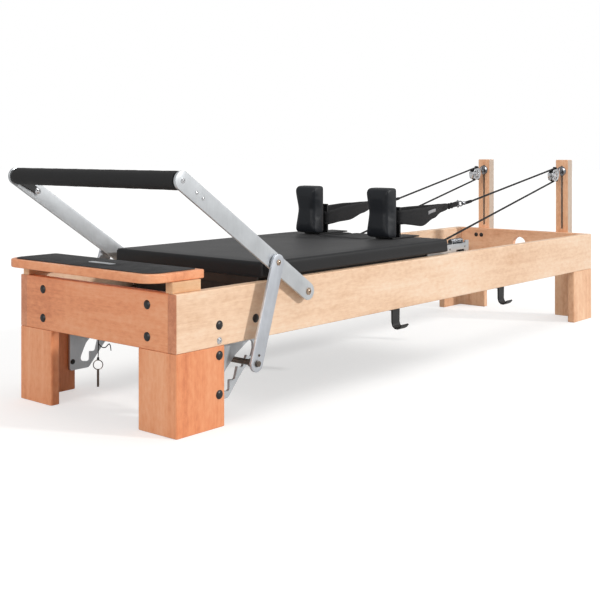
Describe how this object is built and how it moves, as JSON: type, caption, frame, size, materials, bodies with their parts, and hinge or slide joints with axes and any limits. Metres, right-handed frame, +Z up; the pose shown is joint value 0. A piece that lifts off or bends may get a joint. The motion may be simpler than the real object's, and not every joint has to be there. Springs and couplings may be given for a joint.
{
  "type": "pilates reformer",
  "caption": "Wooden pilates reformer: frame on legs with a sprung padded carriage, tilting footbar in notched racks, standing platform, and ropes over post pulleys.",
  "frame": {"origin": "middle of the footprint box, on the floor", "axes": "+X towards the head end with the pulley posts, +Z up, the side with the pole hooks is -Y"},
  "size_m": [2.5562, 0.75, 0.68],
  "materials": {
    "maple": "satin lacquer, light maple",
    "beech": "satin lacquer, steamed beech",
    "aluminium": "brushed satin",
    "steel": "zinc plated",
    "chrome": "polished",
    "black_steel": "satin black powder coat",
    "vinyl": "black synthetic leather, fine grain",
    "foam": "black closed-cell foam grip",
    "rubber": "black rubber",
    "webbing": "black woven webbing and braided rope",
    "plywood": "black stained plywood"
  },
  "bodies": {
    "root": {"foot_end_panel": "beech", "head_end_panel": "beech", "rail_near": "maple", "leg_foot_near": "beech", "leg_head_near": "beech", "pulley_post_near": "beech", "platform_block_near": "maple", "track_near": "aluminium", "footbar_pivot_near": "steel", "footbar_rack_near": "aluminium", "pulley_housing_near": "chrome", "rope_near": "webbing", "rail_far": "maple", "leg_foot_far": "beech", "leg_head_far": "beech", "pulley_post_far": "beech", "platform_block_far": "maple", "track_far": "aluminium", "footbar_pivot_far": "steel", "footbar_rack_far": "aluminium", "pulley_housing_far": "chrome", "rope_far": "webbing", "platform_board": "beech", "platform_grip": "rubber", "spring_bar": "steel", "spring_1": "steel", "spring_2": "steel", "spring_3": "steel", "spring_4": "steel", "spring_5": "steel", "pole_hook_1": "black_steel", "pole_hook_2": "black_steel", "lanyard_cord": "webbing", "lanyard_pin": "steel"},
    "carriage": {"carriage_deck": "plywood", "carriage_pad": "vinyl", "corner_bracket_near": "aluminium", "shoulder_pad_near": "vinyl", "shoulder_bracket_near": "black_steel", "foot_strap_near": "webbing", "corner_bracket_far": "aluminium", "shoulder_pad_far": "vinyl", "shoulder_bracket_far": "black_steel", "foot_strap_far": "webbing"},
    "headrest": {"headrest_pad": "vinyl"},
    "footbar": {"footbar_tube": "black_steel", "footbar_foam": "foam", "footbar_arm_near": "aluminium", "footbar_arm_far": "aluminium"},
    "footbar_strut": {"footbar_strut_near": "aluminium", "footbar_strut_far": "aluminium", "footbar_cross_rod": "steel"},
    "wheel_foot_near": {"wheel_foot_near": "rubber"},
    "wheel_head_near": {"wheel_head_near": "rubber"},
    "wheel_foot_far": {"wheel_foot_far": "rubber"},
    "wheel_head_far": {"wheel_head_far": "rubber"},
    "pulley_sheave_near": {"pulley_sheave_near": "rubber"},
    "post_knob_near": {"post_knob_near": "rubber"},
    "pulley_sheave_far": {"pulley_sheave_far": "rubber"},
    "post_knob_far": {"post_knob_far": "rubber"}
  },
  "joints": [
    {"name": "carriage_slide", "type": "slide", "parent": "root", "child": "carriage", "axis": [1, 0, 0], "range_m": [0, 0.88], "stiffness_N_per_m": 120, "springref_m": -0.15, "deforming": ["rope_near", "rope_far", "foot_strap_near", "foot_strap_far", "spring_1", "spring_2", "spring_3", "spring_4", "spring_5"]},
    {"name": "headrest_tilt", "type": "hinge", "parent": "carriage", "child": "headrest", "pos_m": [-0.11375, 0, 0.416], "axis": [0, -1, 0], "range_deg": [0, 35]},
    {"name": "footbar_tilt", "type": "hinge", "parent": "root", "child": "footbar", "pos_m": [-0.72415, 0, 0.322], "axis": [0, 1, 0], "range_deg": [-27, 13]},
    {"name": "strut_fold", "type": "hinge", "parent": "footbar", "child": "footbar_strut", "pos_m": [-0.86454, 0, 0.41608], "axis": [0, 1, 0], "range_deg": [-17, 34]},
    {"name": "wheel_foot_near_roll", "type": "hinge", "parent": "carriage", "child": "wheel_foot_near", "pos_m": [-0.78815, -0.275, 0.3153], "axis": [0, 1, 0], "continuous": true},
    {"name": "wheel_head_near_roll", "type": "hinge", "parent": "carriage", "child": "wheel_head_near", "pos_m": [0.19585, -0.275, 0.3153], "axis": [0, 1, 0], "continuous": true},
    {"name": "wheel_foot_far_roll", "type": "hinge", "parent": "carriage", "child": "wheel_foot_far", "pos_m": [-0.78815, 0.275, 0.3153], "axis": [0, 1, 0], "continuous": true},
    {"name": "wheel_head_far_roll", "type": "hinge", "parent": "carriage", "child": "wheel_head_far", "pos_m": [0.19585, 0.275, 0.3153], "axis": [0, 1, 0], "continuous": true},
    {"name": "pulley_sheave_near_turn", "type": "hinge", "parent": "root", "child": "pulley_sheave_near", "pos_m": [1.12985, -0.195, 0.614], "axis": [0, 1, 0], "continuous": true},
    {"name": "post_knob_near_turn", "type": "hinge", "parent": "root", "child": "post_knob_near", "pos_m": [1.25415, -0.195, 0.631], "axis": [1, 0, 0], "continuous": true},
    {"name": "pulley_sheave_far_turn", "type": "hinge", "parent": "root", "child": "pulley_sheave_far", "pos_m": [1.12985, 0.195, 0.614], "axis": [0, 1, 0], "continuous": true},
    {"name": "post_knob_far_turn", "type": "hinge", "parent": "root", "child": "post_knob_far", "pos_m": [1.25415, 0.195, 0.631], "axis": [1, 0, 0], "continuous": true}
  ],
  "couplings": [
    {"joint": "strut_fold", "follows": "footbar_tilt", "ratio": -1.25},
    {"joint": "wheel_foot_near_roll", "follows": "carriage_slide", "rad_per_m": 40},
    {"joint": "wheel_head_near_roll", "follows": "carriage_slide", "rad_per_m": 40},
    {"joint": "wheel_foot_far_roll", "follows": "carriage_slide", "rad_per_m": 40},
    {"joint": "wheel_head_far_roll", "follows": "carriage_slide", "rad_per_m": 40}
  ]
}
